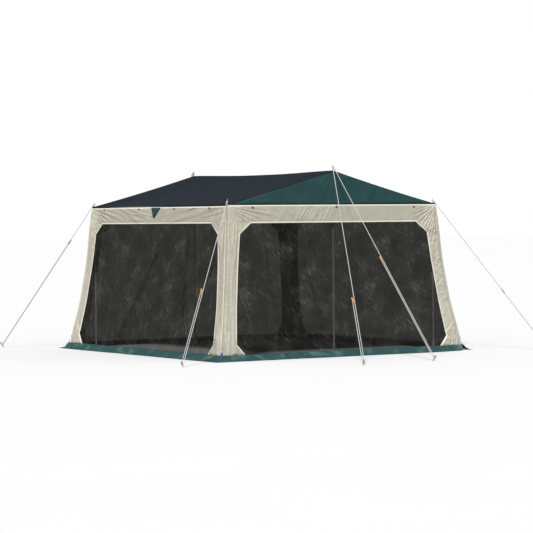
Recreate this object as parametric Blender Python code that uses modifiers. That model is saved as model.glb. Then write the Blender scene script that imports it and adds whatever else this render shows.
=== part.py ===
"""Screen house: a gabled fabric roof on two main poles and four corner poles, four walls with
see-through mesh windows, a mud skirt all round and eight guy lines with sliders and pegs.

Units are metres and +Z is up. The origin is on the ground at the middle of the house. +Y runs
along the ridge and +X across it, so the gable walls face -Y (front) and +Y (rear).
"""

import math

import bmesh
import bpy
from mathutils import Matrix, Vector

COLLECTION_NAME = "screen_house"

# Driving dimensions of the tent.
HALF_X = 1.50  # eave seam to the middle plane, across the ridge
HALF_Y = 1.65  # eave seam to the middle plane, along the ridge
EAVE_Z = 1.80
RIDGE_Z = 2.20
FLARE = 0.22  # how far each wall's foot stands out from its eave
FOOT_Z = 0.055  # height of the walls' foot, where the skirt begins
CLOTH = 0.003  # thickness of the plain cloth solids
MESH_CLOTH = 0.002
GAP = 0.001  # between pieces that are sewn together on the real tent

# Walls, measured down the slope of the wall from the eave.
WALL_TOP_Z = EAVE_Z - 0.012
TOP_BAND = 0.20
COLUMN = 0.19
TOP_CHAMFER = (0.16, 0.13)
FOOT_CHAMFER = (0.11, 0.13)
SKIRT_BEND = 0.09  # where the sloping part of the skirt meets the ground
SKIRT_WIDTH = 0.17
LONG_SKIRT_SPREAD = 0.03  # how far a long skirt's outer edge runs past its wall at the free end
GABLE_SKIRT_TAPER = 0.10  # how far short of that end a gable skirt's outer edge stops

# Roof.
ROOF_OVERHANG_X = 0.006
ROOF_END_Y = HALF_Y - 0.005
RIDGE_GAP = 0.003
PIN_HOLE_RADIUS = 0.0045
PIN_HOLE_SIDES = 10

# Poles.
POLE_X = HALF_X - 0.020
POLE_Y = HALF_Y - 0.020
CORNER_POLE_RADIUS = 0.0095
MAIN_POLE_RADIUS = 0.011
TUBE_WALL = 0.0012
PIN_RADIUS = 0.003
CORNER_PIN_TOP = EAVE_Z + 0.070
MAIN_PIN_TOP = RIDGE_Z + 0.075
POLE_SIDES = 12

# Guy lines.
ROPE_RADIUS = 0.0045
STRAND_HALF = 0.011  # half the spacing of the doubled strands
ROPE_START = 0.010  # from the pin's axis to the rope's first point
CORNER_ROPE_Z = EAVE_Z + 0.040
MAIN_ROPE_Z = (RIDGE_Z + 0.040, RIDGE_Z + 0.053)
PEG_RADIUS = 0.004
PEG_ROPE_Z = 0.030  # height at which the rope goes round the peg
SLIDER_SIZE = (0.036, 0.013, 0.040)
SLIDER_HOLE_RADIUS = 0.005

# Where the pegs stand, for the half of the tent at -Y. The other half is the same, turned by
# half a turn about +Z. "at" is the pole, "pegs" the peg's place and "along" how far down its rope
# the slider sits, as a share of the rope, both for the front guy and for its rear copy.
NEAR_CORNER_GUY = {
    "name": "front_left",
    "at": (-POLE_X, -POLE_Y),
    "pegs": ((-2.56, -2.41), (-2.56, -2.41)),
    "along": (0.57, 0.57),
}
RIGHT_CORNER_GUY = {
    "name": "front_right",
    "at": (POLE_X, -POLE_Y),
    "pegs": ((2.46, -2.62), (2.36, -2.56)),
    "along": (0.62, 0.27),
}
MAIN_GUY_A = {
    "name": "front_ridge_a",
    "at": (0.0, -POLE_Y),
    "pegs": ((-0.84, -3.45), (-0.84, -3.45)),
    "along": (0.70, 0.70),
}
MAIN_GUY_B = {
    "name": "front_ridge_b",
    "at": (0.0, -POLE_Y),
    "pegs": ((0.21, -3.35), (0.21, -3.35)),
    "along": (0.50, 0.50),
}

# Small pieces.
TAB_HALF_WIDTH = 0.110
TAB_HEIGHT = 0.130
TAB_DROP = 0.008  # top edge of the tab, below the wall's hinge
TAB_STANDOFF = 0.006
ZIP_PULL_SIZE = (0.005, 0.011, 0.032)
ZIP_PULL_Z = 0.15
ZIP_PULL_STANDOFF = 0.009

LEAN = math.atan2(FLARE, EAVE_Z - FOOT_Z)
WIDENING = math.sin(LEAN)  # how much wider a half wall gets per metre down its slope
WALL_LENGTH = (WALL_TOP_Z - FOOT_Z) / math.cos(LEAN)
ROOF_PITCH = math.atan2(RIDGE_Z - EAVE_Z, HALF_X)


def clear_scene():
    for old in list(bpy.data.objects):
        bpy.data.objects.remove(old, do_unlink=True)


def make_collection(name):
    collection = bpy.data.collections.new(name)
    bpy.context.scene.collection.children.link(collection)
    return collection


def make_material(name, colour, roughness, metallic=0.0):
    material = bpy.data.materials.new(name)
    material.use_nodes = True
    shader = material.node_tree.nodes["Principled BSDF"]
    shader.inputs["Base Color"].default_value = (*colour, 1.0)
    shader.inputs["Roughness"].default_value = roughness
    shader.inputs["Metallic"].default_value = metallic
    material.diffuse_color = (*colour, 1.0)
    return material


def frame_matrix(origin, x_axis, y_axis):
    """A placement with the given local X and Y directions, which are at right angles."""
    x_axis = Vector(x_axis).normalized()
    y_axis = Vector(y_axis).normalized()
    z_axis = x_axis.cross(y_axis)
    turn = Matrix((x_axis, y_axis, z_axis)).transposed().to_4x4()
    return Matrix.Translation(Vector(origin)) @ turn


def put(name, data, matrix, material, parent=None):
    """Adds an object for the data at a world placement, under its joint's empty if it has one."""
    data.materials.append(material)
    piece = bpy.data.objects.new(name, data)
    parts.objects.link(piece)
    if parent is None:
        piece.matrix_world = matrix
    else:
        piece.parent = parent
        piece.matrix_local = parent.matrix_world.inverted() @ matrix
    return piece


def joint_empty(name, location):
    empty = bpy.data.objects.new(name, None)
    empty.matrix_world = Matrix.Translation(Vector(location))
    parts.objects.link(empty)
    bpy.context.view_layer.update()
    return empty


def flat_piece(name, outline, thickness, matrix, material, holes=(), parent=None):
    """A flat sheet of the given thickness, cut to an outline and centred on its own plane."""
    curve = bpy.data.curves.new(name, "CURVE")
    curve.dimensions = "2D"
    curve.fill_mode = "BOTH"
    curve.extrude = thickness / 2
    for loop in (outline, *holes):
        spline = curve.splines.new("POLY")
        spline.points.add(len(loop) - 1)
        for point, (x, y) in zip(spline.points, loop):
            point.co = (x, y, 0.0, 1.0)
        spline.use_cyclic_u = True
    return put(name, curve, matrix, material, parent)


def circle(centre, radius, sides):
    turns = (2 * math.pi * step / sides for step in range(sides))
    return [(centre[0] + radius * math.cos(a), centre[1] + radius * math.sin(a)) for a in turns]


def turned_piece(name, profile, sides, matrix, material):
    """A body turned about +Z from a profile of (radius, height) that starts and ends on the axis."""
    mesh = bpy.data.meshes.new(name)
    corners = [(radius, 0.0, height) for radius, height in profile]
    edges = [(index, index + 1) for index in range(len(corners) - 1)]
    mesh.from_pydata(corners, edges, [])
    piece = put(name, mesh, matrix, material)
    screw = piece.modifiers.new("turn", "SCREW")
    screw.steps = sides
    screw.render_steps = sides
    screw.use_merge_vertices = True
    screw.merge_threshold = 0.0001
    screw.use_smooth_shade = True
    return piece


def rope_piece(name, points, radius, material):
    """A round rope along the points, with closed ends."""
    curve = bpy.data.curves.new(name, "CURVE")
    curve.dimensions = "3D"
    curve.bevel_depth = radius
    curve.bevel_resolution = 2
    curve.use_fill_caps = True
    spline = curve.splines.new("POLY")
    spline.points.add(len(points) - 1)
    for point, place in zip(spline.points, points):
        point.co = (*place, 1.0)
    return put(name, curve, Matrix.Identity(4), material)


def block_piece(name, size, bevel, matrix, material, parent=None):
    """A rounded block, centred on its origin."""
    mesh = bpy.data.meshes.new(name)
    shape = bmesh.new()
    bmesh.ops.create_cube(shape, size=1.0)
    bmesh.ops.scale(shape, vec=size, verts=shape.verts)
    shape.to_mesh(mesh)
    shape.free()
    piece = put(name, mesh, matrix, material, parent)
    round_off = piece.modifiers.new("round", "BEVEL")
    round_off.width = bevel
    round_off.segments = 2
    return piece


def make_pole(name, x, y, radius, roof_z, pin_top):
    """A two-section tube pole: the lower one's swaged neck sits in the upper one's bore."""
    joint_z = roof_z / 2
    shoulder_z = roof_z - 0.008
    bore = radius - TUBE_WALL
    neck = bore - 0.0004
    neck_top = joint_z + 0.060
    foot_radius = radius + 0.004
    lower = [
        (0.0, 0.012),
        (neck - TUBE_WALL, 0.012),
        (neck - TUBE_WALL, neck_top),
        (neck, neck_top),
        (neck, joint_z - 0.0006),
        (radius, joint_z - 0.004),
        (radius, 0.030),
        (foot_radius, 0.026),
        (foot_radius, 0.0),
        (0.0, 0.0),
    ]
    upper = [
        (0.0, pin_top),
        (PIN_RADIUS * 0.7, pin_top - 0.001),
        (PIN_RADIUS, pin_top - 0.004),
        (PIN_RADIUS, shoulder_z),
        (radius - 0.002, shoulder_z - 0.001),
        (radius, shoulder_z - 0.004),
        (radius, joint_z),
        (bore, joint_z),
        (bore, shoulder_z - 0.010),
        (0.0, shoulder_z - 0.010),
    ]
    place = Matrix.Translation((x, y, 0.0))
    turned_piece(f"{name}_lower", lower, POLE_SIDES, place, steel)
    turned_piece(f"{name}_upper", upper, POLE_SIDES, place, steel)


def make_poles():
    for end, y in (("front", -POLE_Y), ("rear", POLE_Y)):
        make_pole(f"main_pole_{end}", 0.0, y, MAIN_POLE_RADIUS, RIDGE_Z, MAIN_PIN_TOP)
        for side, x in (("left", -POLE_X), ("right", POLE_X)):
            name = f"corner_pole_{end}_{side}"
            make_pole(name, x, y, CORNER_POLE_RADIUS, EAVE_Z, CORNER_PIN_TOP)


def window_outline(half_top, inset):
    """Right half of a wall's window, from its top down, as (along the wall, down the wall)."""

    def side(down):
        return half_top + WIDENING * down - COLUMN - inset

    shoulder = TOP_BAND + TOP_CHAMFER[1]
    ankle = WALL_LENGTH - FOOT_CHAMFER[1]
    return [
        (side(shoulder) - TOP_CHAMFER[0], TOP_BAND + inset),
        (side(shoulder), shoulder + inset),
        (side(ankle), ankle),
        (side(ankle) - FOOT_CHAMFER[0], WALL_LENGTH),
    ]


def make_wall(name, half_top, outward, empty):
    """A leaning wall: a fabric frame open at the bottom, the mesh in it, and its skirt."""
    outward = Vector(outward)
    along = Vector((0.0, 0.0, 1.0)).cross(outward)
    distance = HALF_X if abs(outward.x) > 0.5 else HALF_Y
    top = outward * (distance + CLOTH / 2) + Vector((0.0, 0.0, WALL_TOP_Z))
    up = Vector((0.0, 0.0, math.cos(LEAN))) - outward * math.sin(LEAN)
    place = frame_matrix(top, along, up)

    foot_half = half_top + WIDENING * WALL_LENGTH - GAP
    window = window_outline(half_top, 0.0)
    right_side = [(half_top - GAP, 0.0), (foot_half, WALL_LENGTH), *reversed(window)]
    left_side = [(-x, down) for x, down in reversed(right_side)]
    frame = [(x, -down) for x, down in right_side + left_side]
    flat_piece(f"{name}_wall_frame", frame, CLOTH, place, canvas, parent=empty)

    pane = window_outline(half_top, GAP)
    mesh = [(x, -down) for x, down in pane + [(-x, down) for x, down in reversed(pane)]]
    flat_piece(f"{name}_wall_mesh", mesh, MESH_CLOTH, place, netting, parent=empty)

    make_skirt(f"{name}_skirt", distance + FLARE, half_top + FLARE - GAP, along, outward, empty)


def make_skirt(name, inner, half, along, outward, empty):
    """The strip that slopes from the wall's foot to the ground and lies on it, facing down.

    It is mitred to the next skirt at the front left and rear right corners and free at its other
    end, where a long skirt runs past its wall and a gable skirt stops short.
    """
    gable = abs(outward.y) > 0.5
    spread = -GABLE_SKIRT_TAPER if gable else LONG_SKIRT_SPREAD
    rows = [
        (GAP + CLOTH, FOOT_Z - CLOTH / 2, half),
        (SKIRT_BEND, CLOTH / 2, half),
        (SKIRT_WIDTH, CLOTH / 2, half + spread),
    ]
    mesh = bpy.data.meshes.new(name)
    shape = bmesh.new()
    corners = []
    for out, height, free_end in rows:
        line = outward * (inner + out) + Vector((0.0, 0.0, height))
        mitred_end = half + out - GAP
        left, right = (mitred_end, free_end) if gable else (free_end, mitred_end)
        corners.append((shape.verts.new(line - along * left), shape.verts.new(line + along * right)))
    for (start, end), (next_start, next_end) in zip(corners, corners[1:]):
        shape.faces.new((start, next_start, next_end, end))
    shape.to_mesh(mesh)
    shape.free()
    piece = put(name, mesh, Matrix.Identity(4), skirt_cloth, empty)
    solid = piece.modifiers.new("thickness", "SOLIDIFY")
    solid.thickness = CLOTH
    solid.offset = 0.0
    solid.use_even_offset = True


def make_tab(name, outward, empty):
    """The triangular flap that hangs over the top band in the middle of a long eave."""
    outward = Vector(outward)
    along = Vector((0.0, 0.0, 1.0)).cross(outward)
    up = Vector((0.0, 0.0, math.cos(LEAN))) - outward * math.sin(LEAN)
    normal = along.cross(up)
    wall_top = outward * (HALF_X + CLOTH / 2) + Vector((0.0, 0.0, WALL_TOP_Z))
    hinge = wall_top - up * TAB_DROP + normal * TAB_STANDOFF
    tab_empty = joint_empty(f"{name}_tab_hinge", hinge)
    tab_empty.parent = empty
    tab_empty.matrix_local = empty.matrix_world.inverted() @ Matrix.Translation(hinge)
    bpy.context.view_layer.update()
    outline = [(-TAB_HALF_WIDTH, 0.0), (-0.006, -TAB_HEIGHT), (0.006, -TAB_HEIGHT), (TAB_HALF_WIDTH, 0.0)]
    place = frame_matrix(hinge, along, up)
    flat_piece(f"{name}_eave_tab", outline, CLOTH, place, gable_cloth, parent=tab_empty)


def make_walls():
    make_wall("front", HALF_X, (0.0, -1.0, 0.0), None)
    make_wall("rear", HALF_X, (0.0, 1.0, 0.0), None)
    for name, sign in (("left", -1.0), ("right", 1.0)):
        hinge = (sign * (HALF_X + CLOTH / 2), 0.0, WALL_TOP_Z)
        empty = joint_empty(f"{name}_wall_hinge", hinge)
        make_wall(name, HALF_Y, (sign, 0.0, 0.0), empty)
        make_tab(name, (sign, 0.0, 0.0), empty)


def make_roof():
    """Two slopes, notched at the ridge for the main pins, and two upright gable triangles."""
    edge_x = HALF_X + ROOF_OVERHANG_X
    length = (edge_x - RIDGE_GAP) / math.cos(ROOF_PITCH)
    notch = 0.006
    pin_down = (edge_x - POLE_X) / math.cos(ROOF_PITCH)
    for name, sign in (("left", -1.0), ("right", 1.0)):
        up = Vector((-sign * math.cos(ROOF_PITCH), 0.0, math.sin(ROOF_PITCH)))
        along = Vector((0.0, sign, 0.0))
        edge_z = EAVE_Z - ROOF_OVERHANG_X * math.tan(ROOF_PITCH)
        lift = Vector((sign * math.sin(ROOF_PITCH), 0.0, math.cos(ROOF_PITCH))) * CLOTH / 2
        place = frame_matrix(Vector((sign * edge_x, 0.0, edge_z)) + lift, along, up)
        outline = [
            (-ROOF_END_Y, 0.0),
            (ROOF_END_Y, 0.0),
            (ROOF_END_Y, length - notch),
            (POLE_Y - 2 * notch, length - notch),
            (POLE_Y - 2 * notch, length),
            (2 * notch - POLE_Y, length),
            (2 * notch - POLE_Y, length - notch),
            (-ROOF_END_Y, length - notch),
        ]
        holes = [circle((y, pin_down), PIN_HOLE_RADIUS, PIN_HOLE_SIDES) for y in (-POLE_Y, POLE_Y)]
        flat_piece(f"roof_slope_{name}", outline, CLOTH, place, slope_cloth, holes)

    peak_z = RIDGE_Z + CLOTH
    for name, sign in (("front", -1.0), ("rear", 1.0)):
        y = sign * (ROOF_END_Y + GAP / 2 + CLOTH / 2)
        place = frame_matrix((0.0, y, 0.0), (-sign, 0.0, 0.0), (0.0, 0.0, 1.0))
        foot_z = WALL_TOP_Z + 0.004
        triangle = [(-HALF_X, foot_z), (HALF_X, foot_z), (HALF_X, EAVE_Z), (0.0, peak_z), (-HALF_X, EAVE_Z)]
        flat_piece(f"roof_gable_{name}", triangle, CLOTH, place, gable_cloth)


def make_peg(name, centre, outward):
    """A steel peg from the ground up: a leaning shank whose end is bent over into a hook."""
    lean = math.radians(25)
    axis = Vector((outward.x * math.sin(lean), outward.y * math.sin(lean), math.cos(lean)))
    side = Vector((outward.x * math.cos(lean), outward.y * math.cos(lean), -math.sin(lean)))
    foot_z = PEG_RADIUS * math.sin(lean) + 0.0002
    foot = centre - axis * ((centre.z - foot_z) / axis.z)
    shank = 0.058
    bend = 0.011
    points = [foot, centre, foot + axis * shank]
    for step in range(1, 7):
        turn = math.pi * step / 6
        points.append(foot + axis * (shank + bend * math.sin(turn)) + side * bend * (1 - math.cos(turn)))
    points.append(points[-1] - axis * 0.014)
    rope_piece(name, points, PEG_RADIUS, peg_steel)


def make_guy(guy, start_z, half_turn):
    """A rope from a pole's pin to its peg and back to the slider, with the slider and the peg."""
    name = guy["name"]
    at = Vector((*guy["at"], 0.0))
    peg = Vector((*guy["pegs"][half_turn], 0.0))
    if half_turn:
        name = name.replace("front", "rear")
        swap = {"left": "right", "right": "left"}
        name = "_".join(swap.get(word, word) for word in name.split("_"))
        at = -at
        peg = -peg
    outward = (peg - at).normalized()
    across = Vector((0.0, 0.0, 1.0)).cross(outward)
    centre = peg + Vector((0.0, 0.0, PEG_ROPE_Z))
    start = at + outward * ROPE_START + Vector((0.0, 0.0, start_z))
    near_peg = centre + across * STRAND_HALF
    run = near_peg - start
    down = run.normalized()
    slider_centre = start + run * guy["along"][half_turn] - across * STRAND_HALF

    points = [start + run * step / 14 for step in range(15)]
    for step in range(1, 8):
        turn = math.pi * step / 8
        points.append(centre + across * STRAND_HALF * math.cos(turn) + down * STRAND_HALF * math.sin(turn))
    end = slider_centre - across * STRAND_HALF - down * (SLIDER_SIZE[2] / 2 + 0.012)
    back = centre - across * STRAND_HALF
    points += [back.lerp(end, step / 8) for step in range(9)]
    rope_piece(f"guy_rope_{name}", points, ROPE_RADIUS, rope_fibre)
    make_peg(f"guy_peg_{name}", centre, outward)

    slider_empty = joint_empty(f"guy_slide_{name}", slider_centre)
    level = (across - down * across.dot(down)).normalized()
    place = frame_matrix(slider_centre, level, down.cross(level))
    make_slider(f"guy_slider_{name}", place, slider_empty)


def make_slider(name, place, empty):
    """A flat plastic runner with two holes along it, one for each strand."""
    width, thickness, length = SLIDER_SIZE
    corner = 0.004
    outline = []
    for quarter, (x_sign, y_sign) in enumerate(((1, 1), (-1, 1), (-1, -1), (1, -1))):
        centre = (x_sign * (width / 2 - corner), y_sign * (thickness / 2 - corner))
        for step in range(3):
            turn = math.pi / 2 * (quarter + step / 2)
            outline.append((centre[0] + corner * math.cos(turn), centre[1] + corner * math.sin(turn)))
    holes = [circle((x, 0.0), SLIDER_HOLE_RADIUS, 12) for x in (-STRAND_HALF, STRAND_HALF)]
    flat_piece(name, outline, length, place, runner_plastic, holes, empty)


def make_guys():
    for half_turn in (False, True):
        make_guy(NEAR_CORNER_GUY, CORNER_ROPE_Z, half_turn)
        make_guy(RIGHT_CORNER_GUY, CORNER_ROPE_Z, half_turn)
        make_guy(MAIN_GUY_A, MAIN_ROPE_Z[0], half_turn)
        make_guy(MAIN_GUY_B, MAIN_ROPE_Z[1], half_turn)


def make_zip_pulls():
    """One pull at the foot of each corner zip, lying along the corner seam."""
    for end, y_sign in (("front", -1.0), ("rear", 1.0)):
        for side, x_sign in (("left", -1.0), ("right", 1.0)):
            outward = Vector((x_sign, y_sign, 0.0)).normalized()
            top = Vector((x_sign * HALF_X, y_sign * HALF_Y, EAVE_Z))
            foot = Vector((x_sign * (HALF_X + FLARE), y_sign * (HALF_Y + FLARE), FOOT_Z))
            seam = (top - foot).normalized()
            normal = (outward - seam * outward.dot(seam)).normalized()
            spot = foot + seam * ((ZIP_PULL_Z - FOOT_Z) / seam.z) + normal * ZIP_PULL_STANDOFF
            empty = joint_empty(f"zip_slide_{end}_{side}", spot)
            place = frame_matrix(spot, normal, seam.cross(normal))
            block_piece(f"zip_pull_{end}_{side}", ZIP_PULL_SIZE, 0.0012, place, zip_metal, empty)


clear_scene()
parts = make_collection(COLLECTION_NAME)
steel = make_material("pole_steel", (0.30, 0.31, 0.32), 0.40, 0.8)
slope_cloth = make_material("slope_cloth", (0.024, 0.036, 0.049), 0.75)
gable_cloth = make_material("gable_cloth", (0.030, 0.067, 0.068), 0.75)
canvas = make_material("wall_cloth", (0.56, 0.54, 0.44), 0.80)
netting = make_material("window_mesh", (0.02, 0.02, 0.02), 0.85)
skirt_cloth = make_material("skirt_cloth", (0.05, 0.14, 0.12), 0.70)
rope_fibre = make_material("rope_fibre", (0.80, 0.80, 0.78), 0.80)
runner_plastic = make_material("runner_plastic", (0.80, 0.45, 0.10), 0.45)
peg_steel = make_material("peg_steel", (0.35, 0.35, 0.36), 0.35, 0.9)
zip_metal = make_material("zip_metal", (0.45, 0.45, 0.50), 0.35, 0.9)
make_poles()
make_walls()
make_roof()
make_guys()
make_zip_pulls()
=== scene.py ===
import math

import bpy
import numpy as np
from mathutils import Matrix, Vector


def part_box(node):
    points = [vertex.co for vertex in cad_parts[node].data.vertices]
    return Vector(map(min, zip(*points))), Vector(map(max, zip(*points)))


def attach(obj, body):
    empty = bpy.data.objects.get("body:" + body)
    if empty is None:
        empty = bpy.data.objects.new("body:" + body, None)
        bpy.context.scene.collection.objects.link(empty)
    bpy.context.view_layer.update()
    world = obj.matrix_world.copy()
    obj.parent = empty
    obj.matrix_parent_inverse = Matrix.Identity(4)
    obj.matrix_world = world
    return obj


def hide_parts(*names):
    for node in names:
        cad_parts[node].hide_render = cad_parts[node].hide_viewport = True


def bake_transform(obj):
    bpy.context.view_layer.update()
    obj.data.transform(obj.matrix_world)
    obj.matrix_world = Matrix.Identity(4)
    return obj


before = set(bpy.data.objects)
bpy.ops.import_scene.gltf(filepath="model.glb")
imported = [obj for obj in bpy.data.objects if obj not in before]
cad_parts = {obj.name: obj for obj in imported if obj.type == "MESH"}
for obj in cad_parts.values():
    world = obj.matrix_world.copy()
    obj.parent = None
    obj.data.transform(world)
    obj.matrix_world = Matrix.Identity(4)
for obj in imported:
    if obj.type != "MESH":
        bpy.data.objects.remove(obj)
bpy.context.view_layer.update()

# The tent's own dimensions, in metres, as in the CAD source.
HALF_X = 1.50
HALF_Y = 1.65
EAVE_Z = 1.80
RIDGE_Z = 2.20
FLARE = 0.22
FOOT_Z = 0.055
CLOTH = 0.003
GAP = 0.001
WALL_TOP_Z = EAVE_Z - 0.012
TOP_BAND = 0.20
COLUMN = 0.19
TOP_CHAMFER = (0.16, 0.13)
FOOT_CHAMFER = (0.11, 0.13)
SKIRT_WIDTH = 0.17
SKIRT_CUT = 0.19  # the strip's width when it lies flat
LONG_SKIRT_SPREAD = 0.03
GABLE_SKIRT_TAPER = 0.10
ROOF_EDGE_X = HALF_X + 0.006
ROOF_END_Y = HALF_Y - 0.005
POLE_X = HALF_X - 0.020
POLE_Y = HALF_Y - 0.020
TAB_HALF_WIDTH = 0.110
TAB_HEIGHT = 0.130
TAB_TIP = 0.006
TAB_DROP = 0.008
TAB_STANDOFF = 0.006
TOP_LAP = 0.009  # how far the wall's cloth reaches up behind the roof's edge
LEAN = math.atan2(FLARE, EAVE_Z - FOOT_Z)
WIDENING = math.sin(LEAN)
WALL_LENGTH = (WALL_TOP_Z - FOOT_Z) / math.cos(LEAN)
SHOULDER = TOP_BAND + TOP_CHAMFER[1]
ANKLE = WALL_LENGTH - FOOT_CHAMFER[1]
ROOF_PITCH = math.atan2(RIDGE_Z - EAVE_Z, HALF_X)
SLOPE_LENGTH = ROOF_EDGE_X / math.cos(ROOF_PITCH)

# Guy lines, as in the CAD source.
ROPE_RADIUS = 0.0045
STRAND_HALF = 0.011
ROPE_START = 0.010
ROPE_STEP = 0.012
PEG_ROPE_Z = 0.030
SLIDER_SIZE = (0.036, 0.013, 0.040)
GUYS = (
    ("front_left", (-POLE_X, -POLE_Y), EAVE_Z + 0.040, ((-2.56, -2.41), (-2.56, -2.41)), (0.57, 0.57)),
    ("front_right", (POLE_X, -POLE_Y), EAVE_Z + 0.040, ((2.46, -2.62), (2.36, -2.56)), (0.62, 0.27)),
    ("front_ridge_a", (0.0, -POLE_Y), RIDGE_Z + 0.040, ((-0.84, -3.45), (-0.84, -3.45)), (0.70, 0.70)),
    ("front_ridge_b", (0.0, -POLE_Y), RIDGE_Z + 0.053, ((0.21, -3.35), (0.21, -3.35)), (0.50, 0.50)),
)

# How the cloth is made and how it hangs.
CLOTH_STEP = 0.006  # grid spacing where the cloth is wrinkled
SHEET_THICKNESS = 0.0009  # as drawn; the CAD sheets are CLOTH thick
RIBBON_THICKNESS = 0.0006
NET_STEP = 0.026  # grid spacing of the net
RIDGE_SAG = 0.022
SLOPE_SAG = 0.018
ROOF_END_SAG = 0.010
WALL_BOW = 0.026  # how far the walls are drawn in between the eave and the ground

FLOOR_HALF = 140.0

X, Y, Z = np.eye(3)


# ---- small maths


def unit(vector):
    return vector / np.linalg.norm(vector)


def smooth(x):
    x = np.clip(x, 0.0, 1.0)
    return x * x * (3.0 - 2.0 * x)


def noise(x, y, seed):
    """Smooth noise from -1 to 1 with one bump per unit, the same on each run."""
    table = np.random.default_rng(seed).uniform(-1.0, 1.0, (64, 64))
    col, row = np.floor(x).astype(int), np.floor(y).astype(int)
    fx, fy = smooth(x - col), smooth(y - row)
    near = table[col % 64, row % 64] * (1 - fx) + table[(col + 1) % 64, row % 64] * fx
    far = table[col % 64, (row + 1) % 64] * (1 - fx) + table[(col + 1) % 64, (row + 1) % 64] * fx
    return near * (1 - fy) + far * fy


def creases(x, y, seed):
    """Sharp folds with flat cloth between them, from 0 to 1."""
    return (1.0 - np.abs(noise(x, y, seed))) ** 3


def turned(x, y, degrees, across, along, seed):
    """Coordinates for folds that run at an angle from x, so far apart and so long, and wander."""
    turn = math.radians(degrees)
    over = (y * math.cos(turn) - x * math.sin(turn)) / across
    run = (x * math.cos(turn) + y * math.sin(turn)) / along
    return over + 0.35 * noise(run * 1.5, over * 0.4, seed), run


def fan(du, ds, folds, reach=1.0):
    """Folds that run out from the point where the cloth is pulled: (degrees, strength, length)."""
    total = np.zeros_like(du)
    for degrees, strength, length in folds:
        turn = math.radians(degrees)
        ahead = du * math.cos(turn) + ds * math.sin(turn)
        aside = ds * math.cos(turn) - du * math.sin(turn)
        width = 0.0035 + 0.034 * np.maximum(ahead, 0.0)
        fade = smooth(ahead / 0.04) * (1.0 - smooth(ahead / (length * reach)))
        ridge = np.exp(-((aside / width) ** 2)) - 0.5 * np.exp(-((aside / width - 1.6) ** 2))
        total += strength * ridge * fade * np.minimum(1.0, 0.25 + width / 0.014)
    return total


# ---- sheets of cloth


class Panel:
    """A sheet's own coordinates: u along it, s down it, and how far its folds push it out."""

    def __init__(self, origin, along, down, push, shape):
        self.origin, self.along, self.down, self.push = origin, along, down, push
        self.shape = shape

    def place(self, spots, lift=0.0):
        u, s = spots[:, 0], spots[:, 1]
        out = self.shape(u, s) + lift
        return self.origin + u[:, None] * self.along + s[:, None] * self.down + out[:, None] * self.push


def steps(start, end, size):
    return np.linspace(start, end, max(2, round(abs(end - start) / size) + 1))


def grid_faces(shape):
    """The faces of a grid of points that are stored row by row."""
    index = np.arange(shape[0] * shape[1]).reshape(shape)
    return np.stack([index[:-1, :-1], index[1:, :-1], index[1:, 1:], index[:-1, 1:]], -1).reshape(-1, 4)


def block(rows, left, right, columns):
    """A grid of (u, s) spots between two side lines, and its faces."""
    share = np.linspace(0.0, 1.0, columns + 1)
    left, right = np.broadcast_to(left, rows.shape), np.broadcast_to(right, rows.shape)
    u = left[:, None] + (right - left)[:, None] * share
    spots = np.stack([u, np.broadcast_to(rows[:, None], u.shape)], -1).reshape(-1, 2)
    return spots, grid_faces(u.shape)


def weld(blocks):
    """Joins blocks where their spots fall together, and drops corners that coincide."""
    spots = np.concatenate([b[0] for b in blocks])
    starts = np.cumsum([0] + [len(b[0]) for b in blocks[:-1]])
    faces = np.concatenate([b[1] + start for b, start in zip(blocks, starts)])
    _, first, joined = np.unique(np.round(spots, 6), axis=0, return_index=True, return_inverse=True)
    kept = []
    for face in joined.reshape(-1)[faces].tolist():
        corners = [c for i, c in enumerate(face) if c != face[i - 1]]
        if len(corners) > 2:
            kept.append(corners)
    return spots[first], kept


def new_object(name, data):
    piece = bpy.data.objects.new(name, data)
    bpy.context.scene.collection.objects.link(piece)
    return piece


def mesh_piece(name, points, faces, uv, material, body, thickness=0.0, slot=None):
    mesh = bpy.data.meshes.new(name)
    mesh.from_pydata([tuple(p) for p in points], [], [tuple(f) for f in faces])
    corners = np.empty(len(mesh.loops), int)
    mesh.loops.foreach_get("vertex_index", corners)
    layer = mesh.uv_layers.new(name="cloth")
    layer.data.foreach_set("uv", np.asarray(uv, np.float32)[corners].ravel())
    mesh.shade_smooth()
    mesh.materials.append(material)
    piece = new_object(name, mesh)
    if thickness:
        solid = piece.modifiers.new("thickness", "SOLIDIFY")
        solid.thickness = thickness
        solid.offset = -1.0
    if body:
        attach(piece, body)
    return piece


def plate_piece(name, loops, extrude, bevel, rounds, material, centre, axes, body):
    """A moulded or stamped plate: an outline with holes, made thick and rounded at its edges."""
    curve = bpy.data.curves.new(name, "CURVE")
    curve.dimensions = "2D"
    curve.fill_mode = "BOTH"
    curve.extrude = extrude
    curve.bevel_depth = bevel
    curve.bevel_resolution = rounds
    for loop in loops:
        spline = curve.splines.new("POLY")
        spline.points.add(len(loop) - 1)
        for point, (x, y) in zip(spline.points, loop):
            point.co = (x, y, 0.0, 1.0)
        spline.use_cyclic_u = True
    curve.materials.append(material)
    piece = new_object(name, curve)
    turn = Matrix([Vector(axis) for axis in axes]).transposed().to_4x4()
    piece.matrix_world = Matrix.Translation(Vector(centre)) @ turn
    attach(piece, body)
    return piece


def ellipse(x, y, across, down, start=0.0, end=2 * math.pi, count=12):
    """Points of an ellipse or of an arc of one; a whole one leaves out its last point."""
    turns = np.linspace(start, end, count, endpoint=end - start < 6)
    return [(x + across * math.cos(t), y + down * math.sin(t)) for t in turns]


def sheet_piece(name, panel, blocks, material, body, lift=0.0, thickness=SHEET_THICKNESS, slot=None):
    spots, faces = weld(blocks)
    return mesh_piece(name, panel.place(spots, lift), faces, spots, material, body, thickness, slot)


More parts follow.
